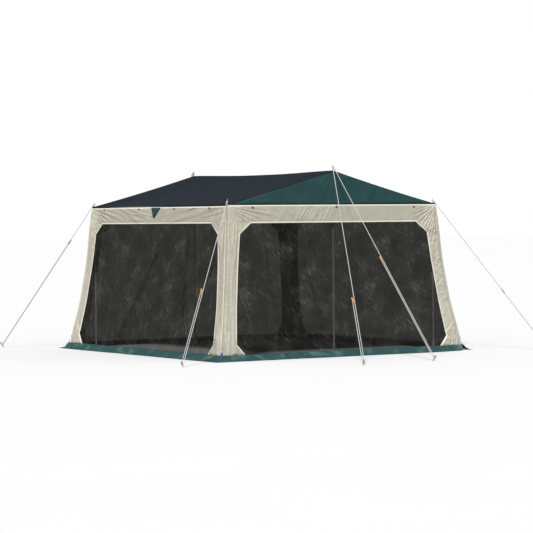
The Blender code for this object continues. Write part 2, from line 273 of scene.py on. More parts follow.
def lathe_faces(rings, sides, closed=True):
    """Faces of a tube made of rings, and its two end caps when it is closed."""
    ring, side = np.meshgrid(np.arange(rings - 1), np.arange(sides), indexing="ij")
    after = (side + 1) % sides
    faces = np.stack([ring * sides + side, ring * sides + after,
                      (ring + 1) * sides + after, (ring + 1) * sides + side], -1)
    faces = faces.reshape(-1, 4).tolist()
    if closed:
        faces.append(list(range(sides))[::-1])
        faces.append([(rings - 1) * sides + i for i in range(sides)])
    return faces


def headings(path):
    """The direction of a path at each of its points."""
    heading = np.gradient(path, axis=0)
    return heading / np.linalg.norm(heading, axis=1)[:, None]


def distances(path):
    """How far along a path each of its points is."""
    return np.concatenate([[0.0], np.cumsum(np.linalg.norm(np.diff(path, axis=0), axis=1))])


def tube_mesh(path, radius, sides=8, lobes=0, pitch=0.04):
    """A round tube along a path; lobes gives it the strands of a laid rope."""
    path = np.asarray(path, float)
    heading = headings(path)
    side = np.cross(heading[0], Z if abs(heading[0][2]) < 0.9 else X)
    travelled = distances(path)
    radii = np.broadcast_to(radius, len(path))
    turns = np.linspace(0.0, 2 * math.pi, sides, endpoint=False)
    points, uv = [], []
    for place, ahead, run, size in zip(path, heading, travelled, radii):
        side = unit(side - ahead * side.dot(ahead))
        up = np.cross(ahead, side)
        around = turns + (2 * math.pi * run / pitch if lobes else 0.0)
        ripple = size * (1.0 - 0.10 * (1 - np.abs(np.cos(lobes * turns / 2)))) if lobes else size
        ring = np.outer(np.cos(around) * ripple, side) + np.outer(np.sin(around) * ripple, up)
        points.append(place + ring)
        uv.append(np.stack([np.full(sides, run), turns / (2 * math.pi) * 0.02], -1))
    return np.concatenate(points), lathe_faces(len(path), sides), np.concatenate(uv)


def tube_piece(name, path, radius, material, body, sides=8, lobes=0, pitch=0.04, slot=None):
    return mesh_piece(name, *tube_mesh(path, radius, sides, lobes, pitch), material, body, slot=slot)


def merged(parts):
    """Several (points, faces, uv) as one mesh."""
    points, faces, uv, start = [], [], [], 0
    for some_points, some_faces, some_uv in parts:
        points.append(some_points)
        uv.append(some_uv)
        faces += [[c + start for c in face] for face in some_faces]
        start += len(some_points)
    return np.concatenate(points), faces, np.concatenate(uv)


def resampled(line, size):
    """A line of (u, s) corners, as spots at most that far apart."""
    pieces = [np.linspace(a, b, max(1, round(math.dist(a, b) / size)), endpoint=False)
              for a, b in zip(line, line[1:])]
    return np.concatenate([*pieces, [line[-1]]])


def side_by_side(run, offsets):
    """Texture coordinates for lines of points that run beside each other."""
    return np.stack([np.repeat(run, len(offsets)), np.tile(offsets, len(run))], -1)


def ribbon_mesh(panel, line, section, size=0.012):
    """A strip on a panel along a line, with a section of (offset across, lift)."""
    spots = resampled(np.asarray(line, float), size)
    heading = headings(spots)
    across = np.stack([heading[:, 1], -heading[:, 0]], -1)
    travelled = distances(spots)
    points = np.stack([panel.place(spots + across * aside, lift) for aside, lift in section], 1)
    uv = side_by_side(travelled, [a for a, _ in section])
    return points.reshape(-1, 3), grid_faces(points.shape[:2]), uv


def strip_mesh(lines, run, offsets):
    """A strip whose lines of points are given, each at its offset from the middle."""
    points = np.stack(lines, 1)
    faces = grid_faces(points.shape[:2])[:, (0, 3, 2, 1)]
    return points.reshape(-1, 3), faces, side_by_side(run, offsets)


def ribbon_piece(name, meshes, material, body):
    return mesh_piece(name, *merged(meshes), material, body, RIBBON_THICKNESS)


# ---- materials


class Finish:
    """A Principled material whose colour and relief come from procedural nodes."""

    def __init__(self, name, roughness, metallic=0.0, uv=True, **sockets):
        self.material = bpy.data.materials.new(name)
        self.material.use_nodes = True
        self.nodes, self.links = self.material.node_tree.nodes, self.material.node_tree.links
        self.shader = self.nodes["Principled BSDF"]
        for socket, value in {"Roughness": roughness, "Metallic": metallic, **sockets}.items():
            self.shader.inputs[socket.replace("_", " ")].default_value = value
        if uv:
            source = self.add("UVMap")
            source.uv_map = "cloth"
            self.where = source.outputs["UV"]
        else:
            self.where = self.add("TexCoord").outputs["Object"]
        self.relief = None

    def add(self, kind, **inputs):
        """A new node, with each input a plain value or another node's output."""
        node = self.nodes.new(f"ShaderNode{kind}")
        for name, value in inputs.items():
            self.feed(node.inputs[name.replace("_", " ")], value)
        return node

    def feed(self, socket, value):
        if isinstance(value, bpy.types.NodeSocket):
            self.links.new(value, socket)
        else:
            socket.default_value = value

    def math(self, operation, a, b=0.0):
        node = self.add("Math")
        node.operation = operation
        self.feed(node.inputs[0], a)
        self.feed(node.inputs[1], b)
        return node.outputs[0]

    def wave(self, value, period):
        return self.math("SINE", self.math("MULTIPLY", value, 2 * math.pi / period))

    def stretched(self, scale, turn=0.0):
        node = self.add("Mapping", Vector=self.where, Rotation=(0.0, 0.0, turn),
                        Scale=tuple(1.0 / s for s in scale))
        node.vector_type = "TEXTURE"
        return node.outputs[0]

    def noise(self, scale, detail=3.0, where=None, roughness=0.5):
        return self.add("TexNoise", Vector=where or self.where, Scale=scale, Detail=detail,
                        Roughness=roughness).outputs["Fac"]

    def cells(self, scale):
        """Distance to the edges of cells: a net of fine creases."""
        node = self.add("TexVoronoi", Vector=self.where, Scale=scale)
        node.feature = "DISTANCE_TO_EDGE"
        return node.outputs["Distance"]

    def colour_ramp(self, value, *stops):
        """Colours the piece along a ramp of (position, colour)."""
        node = self.add("ValToRGB", Fac=value)
        ends = node.color_ramp.elements
        for element, (position, colour) in ((ends[0], stops[0]), (ends[1], stops[-1])):
            element.position = position
            element.color = (*colour, 1.0)
        for position, colour in stops[1:-1]:
            ends.new(position).color = (*colour, 1.0)
        self.colour(node.outputs["Color"])

    def colour(self, source):
        self.links.new(source, self.shader.inputs["Base Color"])

    def rough(self, value, low, high):
        node = self.add("MapRange", Value=value, To_Min=low, To_Max=high)
        self.links.new(node.outputs["Result"], self.shader.inputs["Roughness"])

    def bump(self, height, distance, strength=1.0):
        node = self.add("Bump", Strength=strength, Distance=distance, Height=height)
        if self.relief:
            self.links.new(self.relief, node.inputs["Normal"])
        self.relief = node.outputs["Normal"]
        self.links.new(self.relief, self.shader.inputs["Normal"])

    def axes(self):
        outputs = self.add("SeparateXYZ", Vector=self.where).outputs
        return outputs["X"], outputs["Y"]

    def weave(self, thread):
        """Plain weave, one bump where each thread passes over another."""
        u, v = self.axes()
        return self.math("MULTIPLY", self.wave(u, 2 * thread), self.wave(v, 2 * thread))


def tone(colour, share):
    return tuple(c * share for c in colour)


def coated_cloth(name, colour, light, crinkle=0.0016, roughness=0.7):
    """Tent cloth: a fine weave, packing creases, crinkles and uneven colour."""
    finish = Finish(name, roughness, Specular_IOR_Level=0.10)
    patchy = finish.noise(5.0, 4.0)
    finish.colour_ramp(patchy, (0.30, tone(colour, 0.93)), (0.52, colour), (0.72, light))
    finish.rough(finish.noise(14.0, 2.0), roughness - 0.06, roughness + 0.08)
    finish.bump(finish.noise(24.0, 4.0, roughness=0.6), crinkle * 2.2, 0.45)
    finish.bump(finish.cells(7.0), crinkle * 1.2, 0.25)
    finish.bump(finish.weave(0.0007), 0.00012, 0.6)
    return finish.material


def tape(name, colour, light, stitch_at=0.004):
    """Folded binding tape with a rib along it and a row of stitches."""
    finish = Finish(name, 0.80, Specular_IOR_Level=0.10)
    u, v = finish.axes()
    dash = finish.wave(u, 0.0045)
    near = finish.math("LESS_THAN", finish.math("ABSOLUTE", finish.math("SUBTRACT", v, stitch_at)), 0.0006)
    stitch = finish.math("MULTIPLY", near, finish.math("GREATER_THAN", dash, -0.3))
    finish.colour_ramp(stitch, (0.0, colour), (1.0, light))
    finish.bump(finish.noise(60.0, 3.0), 0.0010, 0.4)
    finish.bump(finish.wave(u, 0.0016), 0.00015, 0.6)
    finish.bump(stitch, 0.0005, 1.0)
    return finish.material


def mesh_finish():
    """Black insect net, seen through; the weave shows as ribs in its relief. Its colour carries soft
    diagonal bands and broad blotches that are painted moiré and painted sheen.
    """
    finish = Finish("window_net", 0.85, Alpha=0.86, Specular_IOR_Level=0.05)
    # Painted moiré: lighter and darker diagonal bands in the net's colour.
    moire_streaks = finish.noise(1.0, 4.0, finish.stretched((9.0, 80.0, 1.0), math.radians(54)), 0.7)
    # Painted sheen: broad lighter and darker blotches in the net's colour.
    sheen_patches = finish.noise(3.2, 4.0, roughness=0.65)
    shade = finish.math("ADD", finish.math("MULTIPLY", moire_streaks, 0.55),
                        finish.math("MULTIPLY", sheen_patches, 0.45))
    # The net's colour ramp paints the moiré and sheen, from near black up to a light grey.
    finish.colour_ramp(shade, (0.40, (0.004, 0.004, 0.004)), (0.50, (0.013, 0.013, 0.011)),
                       (0.57, (0.038, 0.038, 0.031)), (0.68, (0.130, 0.126, 0.105)))
    finish.bump(finish.weave(0.0014), 0.0004, 0.8)
    return finish.material


def rope_finish():
    """White braid: two sets of strands that cross; its colour is darker in the grooves between the strands,
    which is painted shade.
    """
    finish = Finish("guy_braid", 0.72, Sheen_Weight=0.2)
    u, v = finish.axes()
    around = finish.math("MULTIPLY", v, 2 * math.pi / 0.02 * 4)
    along = finish.math("MULTIPLY", u, 2 * math.pi / 0.009)
    one = finish.math("SINE", finish.math("ADD", along, around))
    other = finish.math("SINE", finish.math("SUBTRACT", along, around))
    braid = finish.math("MAXIMUM", one, other)
    # Painted shade: the colour follows the braid's relief, darker in the grooves between the strands.
    finish.colour_ramp(braid, (0.0, (0.42, 0.42, 0.41)), (0.6, (0.62, 0.62, 0.60)),
                       (1.0, (0.74, 0.74, 0.72)))
    finish.bump(braid, 0.0007, 0.8)
    return finish.material


def metal_finish(name, colour, light, roughness, metallic, grain=(6.0, 6.0, 400.0)):
    """Drawn steel with fine marks and uneven shine."""
    finish = Finish(name, roughness, metallic, uv=False)
    marks = finish.noise(1.0, 3.0, finish.stretched(grain))
    finish.colour_ramp(marks, (0.3, colour), (0.7, light))
    finish.rough(finish.noise(35.0, 3.0), roughness - 0.10, roughness + 0.12)
    finish.bump(marks, 0.0002, 0.3)
    return finish.material


def plastic_finish(name, colour, light, roughness):
    """Moulded plastic: a fine grain, uneven colour and uneven shine."""
    finish = Finish(name, roughness, uv=False, Coat_Weight=0.1, Coat_Roughness=0.3)
    finish.colour_ramp(finish.noise(90.0, 3.0), (0.35, colour), (0.7, light))
    finish.rough(finish.noise(60.0, 2.0), roughness - 0.08, roughness + 0.10)
    finish.bump(finish.noise(1500.0, 2.0), 0.0001, 0.5)
    return finish.material


canvas = coated_cloth("wall_canvas", (0.510, 0.490, 0.400), (0.560, 0.538, 0.445), 0.0024, 0.62)
# The band's canvas is the wall canvas made darker: painted shade of the creases in the band.
band_canvas = coated_cloth("band_canvas", (0.445, 0.428, 0.350), (0.485, 0.467, 0.385), 0.0024, 0.62)
slope_cloth = coated_cloth("slope_fabric", (0.0072, 0.0135, 0.0205), (0.0090, 0.0165, 0.0240))
gable_cloth = coated_cloth("gable_fabric", (0.025, 0.069, 0.070), (0.030, 0.078, 0.078))
skirt_cloth = coated_cloth("skirt_fabric", (0.028, 0.075, 0.076), (0.095, 0.170, 0.150), 0.004)
cream_tape = tape("cream_binding", (0.800, 0.775, 0.670), (0.90, 0.88, 0.80))
seam_tape = tape("seam_binding", (0.520, 0.500, 0.400), (0.70, 0.68, 0.58), 0.0)
dark_tape = tape("roof_binding", (0.0065, 0.0120, 0.0180), (0.030, 0.042, 0.052))
green_tape = tape("gable_binding", (0.012, 0.030, 0.032), (0.045, 0.085, 0.085))
mauve_coil = plastic_finish("zip_coil_mauve", (0.36, 0.22, 0.23), (0.46, 0.32, 0.32), 0.5)
cream_coil = plastic_finish("zip_coil_cream", (0.46, 0.44, 0.36), (0.56, 0.54, 0.45), 0.5)
violet_webbing = tape("foot_webbing", (0.07, 0.07, 0.32), (0.20, 0.20, 0.50), 0.006)
net = mesh_finish()
braid = rope_finish()
pole_steel = metal_finish("pole_metal", (0.66, 0.62, 0.62), (0.76, 0.72, 0.71), 0.42, 0.12)
pin_steel = metal_finish("pin_metal", (0.62, 0.61, 0.60), (0.72, 0.71, 0.70), 0.30, 0.7)
peg_steel = metal_finish("peg_metal", (0.10, 0.10, 0.10), (0.20, 0.20, 0.20), 0.42, 0.7)
zip_steel = metal_finish("pull_metal", (0.36, 0.35, 0.38), (0.48, 0.47, 0.50), 0.35, 0.8)
orange = plastic_finish("runner_orange", (0.50, 0.22, 0.045), (0.58, 0.27, 0.06), 0.45)
black_plastic = plastic_finish("toggle_black", (0.010, 0.010, 0.011), (0.022, 0.022, 0.024), 0.32)
rubber = plastic_finish("foot_rubber", (0.025, 0.025, 0.025), (0.04, 0.04, 0.04), 0.7)


# ---- walls


def drawn_in(s):
    """How far a wall stands inside its flat plane; nothing at the eave and where it is pegged."""
    share = s / WALL_LENGTH
    return WALL_BOW * smooth((share - 0.03) / 0.42) * smooth((0.98 - share) / 0.34)


class Wall(Panel):
    """A leaning wall, with the folds of its cloth."""

    def __init__(self, name, half_top, outward, seed, crumple):
        outward = np.array(outward)
        distance = HALF_X if abs(outward[0]) > 0.5 else HALF_Y
        origin = outward * (distance + CLOTH / 2) + Z * WALL_TOP_Z
        down = outward * math.sin(LEAN) - Z * math.cos(LEAN)
        push = outward * math.cos(LEAN) + Z * math.sin(LEAN)
        super().__init__(origin, np.cross(Z, outward), down, push, self.folds)
        self.name, self.half, self.outward, self.seed, self.crumple = name, half_top, outward, seed, crumple
        self.has_tab = name in ("left", "right")
        self.body = f"{name}_wall" if self.has_tab else "root"

    def edge(self, s):
        """Half the wall's width, up to where it meets the next wall."""
        return self.half + WIDENING * s - drawn_in(s) * math.cos(LEAN)

    def strip(self, s):
        """How far out the corner column's straight inner side stands."""
        return self.half + WIDENING * s - COLUMN

    def window(self, s):
        """Half the window's width at a height."""
        sides = [self.strip(SHOULDER) - TOP_CHAMFER[0], self.strip(SHOULDER),
                 self.strip(ANKLE), self.strip(ANKLE) - FOOT_CHAMFER[0]]
        return np.interp(s, [TOP_BAND, SHOULDER, ANKLE, WALL_LENGTH], sides)

    def folds(self, u, s):
        """How far the cloth stands out of its flat cut at each spot."""
        inward = self.edge(s) - np.abs(u)
        beyond = np.maximum(np.abs(u) - self.window(s), TOP_BAND - s)
        right = smooth((u + 0.15) / 0.30)
        total = (1.0 - right) * self.side_folds(-u, s, self.seed, self.crumple[0])
        total += right * self.side_folds(u, s, self.seed + 40, self.crumple[1])
        if self.has_tab:
            total *= 0.1 + 0.9 * smooth((np.hypot(u / 1.2, s) - 0.10) / 0.10)
        held = smooth(inward / 0.030) * smooth(s / 0.018) * (0.35 + 0.65 * smooth((WALL_LENGTH - s) / 0.03))
        hemmed = 0.25 + 0.75 * smooth(beyond / 0.035)
        billow = 0.010 * smooth(-beyond / 0.4) * noise(u * 1.1 + self.seed, s * 1.3, self.seed + 9)
        ripple = 0.0022 * smooth(-beyond / 0.12) * noise(u * 3.0 + s * 2.0, (s - u) * 0.9, self.seed + 10)
        inside = np.exp(np.minimum(beyond, 0.0) / 0.05)
        folds = np.maximum(total * held * hemmed * inside, -0.004) + (billow + ripple) * (beyond < 0)
        return folds - drawn_in(s)

    def side_folds(self, u, s, seed, crumple):
        """The folds of one half, with u measured from the wall's middle."""
        eave = fan(self.half - u, s, EAVE_FANS[seed % len(EAVE_FANS)])
        pulled_at = WALL_LENGTH - 0.34
        foot = fan(self.edge(pulled_at) - u, s - pulled_at, FOOT_FAN) * smooth((s - pulled_at) / 0.14)
        in_column = smooth((u - self.window(s) + 0.06) / 0.08) * smooth((s - 0.12) / 0.15)
        in_band = 1.0 - smooth((s - TOP_BAND + 0.02) / 0.10)
        near_eave = np.exp(-np.hypot(self.half - u, s) / 0.45)
        share = (self.edge(s) - u) / COLUMN
        bend = 0.5 * noise(s * 2.3, u * 0 + 0.5, seed + 1)
        drape = creases(share * 3.4 + bend, s * 1.1, seed + 2)
        drape += 0.6 * noise(share * 2.0 + bend, s * 1.6, seed + 3)
        slack = 0.6 + 0.4 * noise(u * 2.2, s * 4.0, seed + 12)
        if self.has_tab:
            pleats = creases(*turned(u, s, -10, 0.050, 0.75, seed + 4), seed + 5)
            pleats += 0.7 * creases(*turned(u, s, -17, 0.065, 0.40, seed + 6), seed + 7)
        else:
            over, run = turned(u, s, 51, 0.037, 0.30, seed + 4)
            wander = over + 0.35 * noise(run * 0.8, over * 0.6, seed + 13)
            pleats = (0.5 + 0.5 * np.sin(2 * math.pi * wander)) ** 3
            pleats *= smooth(noise(run, over * 0.45, seed + 5) + 0.35)
            pleats = 0.45 * pleats + 0.55 * creases(wander * 0.8, run, seed + 6)
            pleats *= 1.0 - 0.8 * smooth((u - self.half + 0.80) / 0.35)
        crinkle = creases(*turned(u, s, 38, 0.036, 0.060, seed + 8), seed + 9)
        crinkle += 0.8 * creases(*turned(u, s, -44, 0.030, 0.055, seed + 10), seed + 11)
        return (
            0.0130 * eave * (0.6 + 0.4 * crumple) + 0.0260 * foot
            + in_column * (0.0100 * drape + 0.0030 * crumple * crinkle)
            + in_band * slack * (0.0105 * pleats + 0.0012 * crinkle)
            + 0.0020 * crumple * near_eave * crinkle
        )


# Folds that run out from a pulled corner: (degrees from its first edge, strength, length in metres).
EAVE_FANS = (
    ((3, 0.6, 0.7), (8, 0.9, 0.9), (14, 0.9, 0.8), (21, 1.0, 0.6), (30, 0.8, 0.5), (40, 0.9, 0.4),
     (51, 0.8, 0.45), (61, 0.9, 0.6), (69, 0.9, 0.8), (76, 0.9, 1.0), (82, 0.8, 0.9)),
    ((4, 0.6, 0.8), (10, 1.0, 1.0), (17, 0.8, 0.7), (26, 0.9, 0.6), (36, 0.9, 0.5), (47, 0.7, 0.4),
     (58, 0.8, 0.5), (66, 1.0, 0.7), (74, 0.9, 0.9), (81, 0.8, 0.8)),
    ((7, 0.5, 0.4), (16, 0.6, 0.4), (26, 0.8, 0.45), (37, 1.1, 0.45), (46, 1.5, 0.42), (55, 1.3, 0.45),
     (63, 1.7, 0.50), (70, 1.3, 0.6), (76, 1.5, 0.7), (82, 1.0, 0.9)),
)
FOOT_FAN = ((50, 0.9, 0.9), (56, 1.1, 0.9), (61, 0.9, 0.8), (66, 1.1, 0.8), (71, 0.9, 0.7), (76, 1.1, 0.7),
            (82, 0.9, 0.6))
ROOF_FAN = ((12, 0.7, 0.9), (27, 0.9, 1.1), (41, 0.8, 1.2), (55, 0.9, 1.0), (72, 0.7, 0.8))
GABLE_PEAK_FAN = ((62, 0.9, 0.45), (74, 0.7, 0.4), (84, 0.9, 0.45), (38, 0.5, 0.5))
GABLE_CORNER_FAN = ((3, 0.8, 1.1), (7, 0.9, 0.9), (11, 0.7, 0.7))

# Sections of tapes, hems and seams: (offset across, lift off the cloth).
FLAT_HEM = ((-0.0065, 0.0002), (-0.0055, 0.0014), (0.0, 0.0020), (0.0075, 0.0015), (0.0090, 0.0003))
SEAM = ((-0.0045, 0.0002), (-0.0030, 0.0014), (0.0, 0.0008), (0.0030, 0.0014), (0.0045, 0.0002))
ZIP_EDGE = ((-0.005, 0.0002), (-0.004, 0.0012), (0.004, 0.0012), (0.005, 0.0002))
ZIP_EDGE_INSET = 0.0075
EAVE_HEM = ((0.012, 0.0006), (0.0, 0.0014), (-0.0012, -0.0010), (-0.0008, -0.0040), (-0.0004, -0.0062))
END_HEM = ((0.014, 0.0004), (0.012, 0.0012), (0.0, 0.0016), (-0.0035, 0.0), (-0.0040, -0.008))
RIDGE_SEAM = ((-0.010, 0.0004), (-0.008, 0.0015), (0.0, 0.0034), (0.008, 0.0015), (0.010, 0.0004))
FOOT_HEM = ((0.007, 0.0003), (0.006, 0.0014), (-0.005, 0.0014), (-0.006, 0.0))
ZIP_COVER = ((-0.0105, -0.0055), (-0.0085, -0.0020), (-0.0045, 0.0022), (0.0, 0.0034),
             (0.0045, 0.0022), (0.0085, -0.0020), (0.0105, -0.0055))
TAB_HEM = ((-0.002, 0.0003), (-0.001, 0.0013), (0.005, 0.0013), (0.006, 0.0003))
WEBBING = (-0.009, -0.008, 0.008, 0.009)  # the foot loop's lines, across it


def build_wall(wall):
    """The wall's band, its two columns, its window and all that is sewn on them."""
    band_rows = steps(0.0 if wall.has_tab else -TOP_LAP, TOP_BAND, CLOTH_STEP)
    top_rows = steps(TOP_BAND, SHOULDER, CLOTH_STEP)
    main_rows = steps(SHOULDER, ANKLE, CLOTH_STEP)
    foot_rows = steps(ANKLE, WALL_LENGTH, CLOTH_STEP)
    all_rows = np.concatenate([band_rows, top_rows[1:], main_rows[1:], foot_rows[1:]])
    across = round(COLUMN / (CLOTH_STEP * 0.8))
    name, body = wall.name, wall.body

    strip = wall.strip(band_rows)
    # The band uses the darker canvas, whose darkness is painted shade of its creases.
    band = sheet_piece(f"{name}_wall_band", wall,
                       [block(band_rows, -strip, strip, round(2 * wall.half / CLOTH_STEP))],
                       band_canvas, body, slot="wall_cloth")
    columns = []
    for side, sign in (("a", -1), ("b", 1)):
        blocks = []
        for rows, near, far, number in (
            (all_rows, wall.strip(all_rows), wall.edge(all_rows) - GAP, across),
            (top_rows, wall.window(top_rows), wall.strip(top_rows), 14),
            (foot_rows, wall.window(foot_rows), wall.strip(foot_rows), 10),
        ):
            blocks.append(block(rows, *((near, far) if sign > 0 else (-far, -near)), number))
        columns.append(sheet_piece(f"{name}_wall_column_{side}", wall, blocks, canvas, body,
                                   slot="wall_cloth"))
    for cloth in (band, *columns):
        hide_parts(f"{name}_wall_frame")

    pane_rows = np.concatenate([steps(TOP_BAND, SHOULDER, NET_STEP), steps(SHOULDER, ANKLE, NET_STEP)[1:],
                                steps(ANKLE, WALL_LENGTH, NET_STEP)[1:]])
    half = wall.window(pane_rows)
    pane = sheet_piece(f"{name}_window_net", wall,
                       [block(pane_rows, -half, half, round(2 * wall.half / 0.028))],
                       net, body, lift=-0.0012, thickness=0.0, slot="window_mesh")
    pane.visible_shadow = False
    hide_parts(f"{name}_wall_mesh")

    outline = [(-wall.window(s), s) for s in (WALL_LENGTH, ANKLE, SHOULDER, TOP_BAND)]
    outline += [(wall.window(s), s) for s in (TOP_BAND, SHOULDER, ANKLE, WALL_LENGTH)]
    window_hem = ribbon_piece(f"{name}_window_hem", [ribbon_mesh(wall, outline, FLAT_HEM)],
                              cream_tape, body)
    top_at, inset = (0.011, 0.034) if wall.has_tab else (0.0, 0.004)
    top = [(wall.edge(top_at) - inset, top_at), (inset - wall.edge(top_at), top_at)]
    binding = ribbon_piece(f"{name}_top_binding", [ribbon_mesh(wall, top, FLAT_HEM)], cream_tape, body)
    lines = []
    for sign in (-1, 1):
        for rows in ((0.018, SHOULDER), (ANKLE, WALL_LENGTH)):
            lines.append([(sign * wall.strip(s), s) for s in rows])
    seams = ribbon_piece(f"{name}_wall_seams",
                         [ribbon_mesh(wall, line, SEAM, CLOTH_STEP) for line in lines], seam_tape, body)

    for side, sign, column in zip("ab", (-1, 1), columns):
        line = [(sign * (wall.edge(s) - ZIP_EDGE_INSET), s)
                for s in steps(0.035, WALL_LENGTH - 0.006, 0.08)]
        edge = ribbon_piece(f"{name}_zip_edge_{side}", [ribbon_mesh(wall, line, ZIP_EDGE)], seam_tape, body)
    2 * wall.window(ANKLE)


def build_toggles(wall, spots):
    """Small barrel toggles on elastic loops, which hold a rolled-up wall."""
    parts = []
    for u, s in spots:
        base = wall.place(np.array([[u, s]]), 0.0065)[0]
        barrel = [base + wall.along * 0.013 * share for share in (-1.05, -1.0, -0.4, 0.0, 0.4, 1.0, 1.05)]
        parts.append(tube_mesh(barrel, [0.0030, 0.0048, 0.0058, 0.0062, 0.0058, 0.0048, 0.0030], 12))
        loop = [base + wall.push * 0.005 * math.sin(t) - wall.down * 0.012 * math.sin(t / 2)
                + wall.along * 0.004 * math.cos(t) for t in np.linspace(0, math.pi, 9)]
        parts.append(tube_mesh(loop, 0.0013, 6))
    mesh_piece(f"{wall.name}_toggles", *merged(parts), black_plastic, wall.body)


# ---- skirt


def build_skirt(wall):
    """The ground strip: it slopes from the wall's foot to the ground and lies there in ripples.

    At two corners it is mitred to the next one, where both run flat to the same line.
    """
    base = (HALF_X if wall.has_tab else HALF_Y) + FLARE
    half = wall.edge(WALL_LENGTH)
    mitred = 1.0 if wall.has_tab else -1.0
    count = round(2 * half / 0.011)
    a, w = np.meshgrid(np.linspace(-1.0, 1.0, count + 1), np.linspace(0.0, 1.0, 23))
    free = 1.0 - smooth((a * mitred * half - half + 0.30) / 0.28)
    loose = smooth((-a * mitred * half - half + 0.35) / 0.30)
    wave = noise(a * half * 2.9, w * 0.6, wall.seed + 20) * free
    ruffle = noise(a * half * 9.0, w * 1.6, wall.seed + 21) * free
    flutter = noise(a * half * 21.0, w * 1.1, wall.seed + 22) * free
    reach = SKIRT_WIDTH + 0.004 - (0.0 if wall.has_tab else 0.05) * loose
    out = -0.004 + reach * w ** 0.85 + (0.016 * wave + 0.008 * ruffle) * w
    height = (FOOT_Z + 0.012) * (1.0 - smooth(w / (0.60 + 0.12 * wave)))
    flat = smooth(w / 0.3) * (1.0 - 0.85 * smooth((w - 0.7) / 0.3))
    height += flat * (0.002 + 0.020 * np.maximum(ruffle, 0) + 0.016 * np.maximum(wave, 0)
                      + 0.009 * np.maximum(flutter, 0))
    height = np.maximum(height, 0.0012)
    spread = LONG_SKIRT_SPREAD if wall.has_tab else -GABLE_SKIRT_TAPER
    ends = np.where(a * mitred > 0, half + out + 0.0005, half + spread * smooth((w - 0.35) / 0.6))
    run = a * ends
    points = wall.outward * (base + out)[..., None] + wall.along * run[..., None] + Z * height[..., None]
    uv = np.stack([run, w * SKIRT_CUT], -1).reshape(-1, 2)
    faces = grid_faces(a.shape)
    skirt = mesh_piece(f"{wall.name}_ground_skirt", points.reshape(-1, 3), faces, uv, skirt_cloth,
                       wall.body, SHEET_THICKNESS, "skirt_cloth")
    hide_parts(f"{wall.name}_skirt")


# ---- roof


def end_sag(s):
    """How far the slope's end edge hangs below a straight line from the ridge to the eave."""
    share = s / SLOPE_LENGTH
    return ROOF_END_SAG * 4 * share * (1 - share)


def slope_shape(sign):
    """How far a slope stands off the plane from the ridge to the eave."""
    def shape(u, s):
        share = np.clip(s / SLOPE_LENGTH, 0.0, 1.0)
        middle = 1.0 - smooth((np.abs(u) / ROOF_END_Y) ** 1.4)
        ridge = RIDGE_SAG * middle * (1 - share) ** 1.3
        hollow = (SLOPE_SAG * smooth((ROOF_END_Y - np.abs(u)) / 0.7)) * 4 * share * (1 - share)
        corners = np.zeros_like(u)
        for inward in (ROOF_END_Y - u, ROOF_END_Y + u):
            corners += fan(inward, SLOPE_LENGTH - s, ROOF_FAN) + fan(inward, s, ROOF_FAN, 1.2)
        slack = creases(u * 1.3 + s * 1.9, (s - u) * 0.45, 71 + (sign > 0))
        inner = smooth(s / 0.05) * smooth((SLOPE_LENGTH - s) / 0.04)
        inner = inner * smooth((ROOF_END_Y - np.abs(u)) / 0.04)
        return -ridge - hollow - end_sag(s) + inner * (0.0070 * corners + 0.0050 * slack)
    return shape


def gable_half(depth):
    """Half the gable's width at a depth below the peak, under the sagging end of the slope."""
    s = np.linspace(0.0, SLOPE_LENGTH, 60)
    drop = s * math.sin(ROOF_PITCH) + end_sag(s)
    return np.interp(depth, drop, s * math.cos(ROOF_PITCH))


def gable_shape(seed):
    """How far a gable end stands off its plane."""
    def shape(u, s):
        inner = smooth((gable_half(s) - np.abs(u)) / 0.05) * smooth(s / 0.05)
        inner = inner * (0.3 + 0.7 * smooth((RIDGE_Z - EAVE_Z - s) / 0.03))
        peak = fan(np.abs(u), s, GABLE_PEAK_FAN)
        corner = fan(HALF_X - np.abs(u), RIDGE_Z - EAVE_Z - s + 0.01, GABLE_CORNER_FAN)
        slack = creases(u * 2.3 + s * 1.5, (s * 2 - u) * 0.8, seed)
        fine = creases(u * 9.0 + s * 3.0, s * 2.5 - u, seed + 2)
        billow = smooth(s / 0.3) * noise(u, s, seed + 1)
        return inner * (0.0090 * peak + 0.0090 * corner + 0.0085 * slack + 0.0030 * fine + 0.0060 * billow)
    return shape


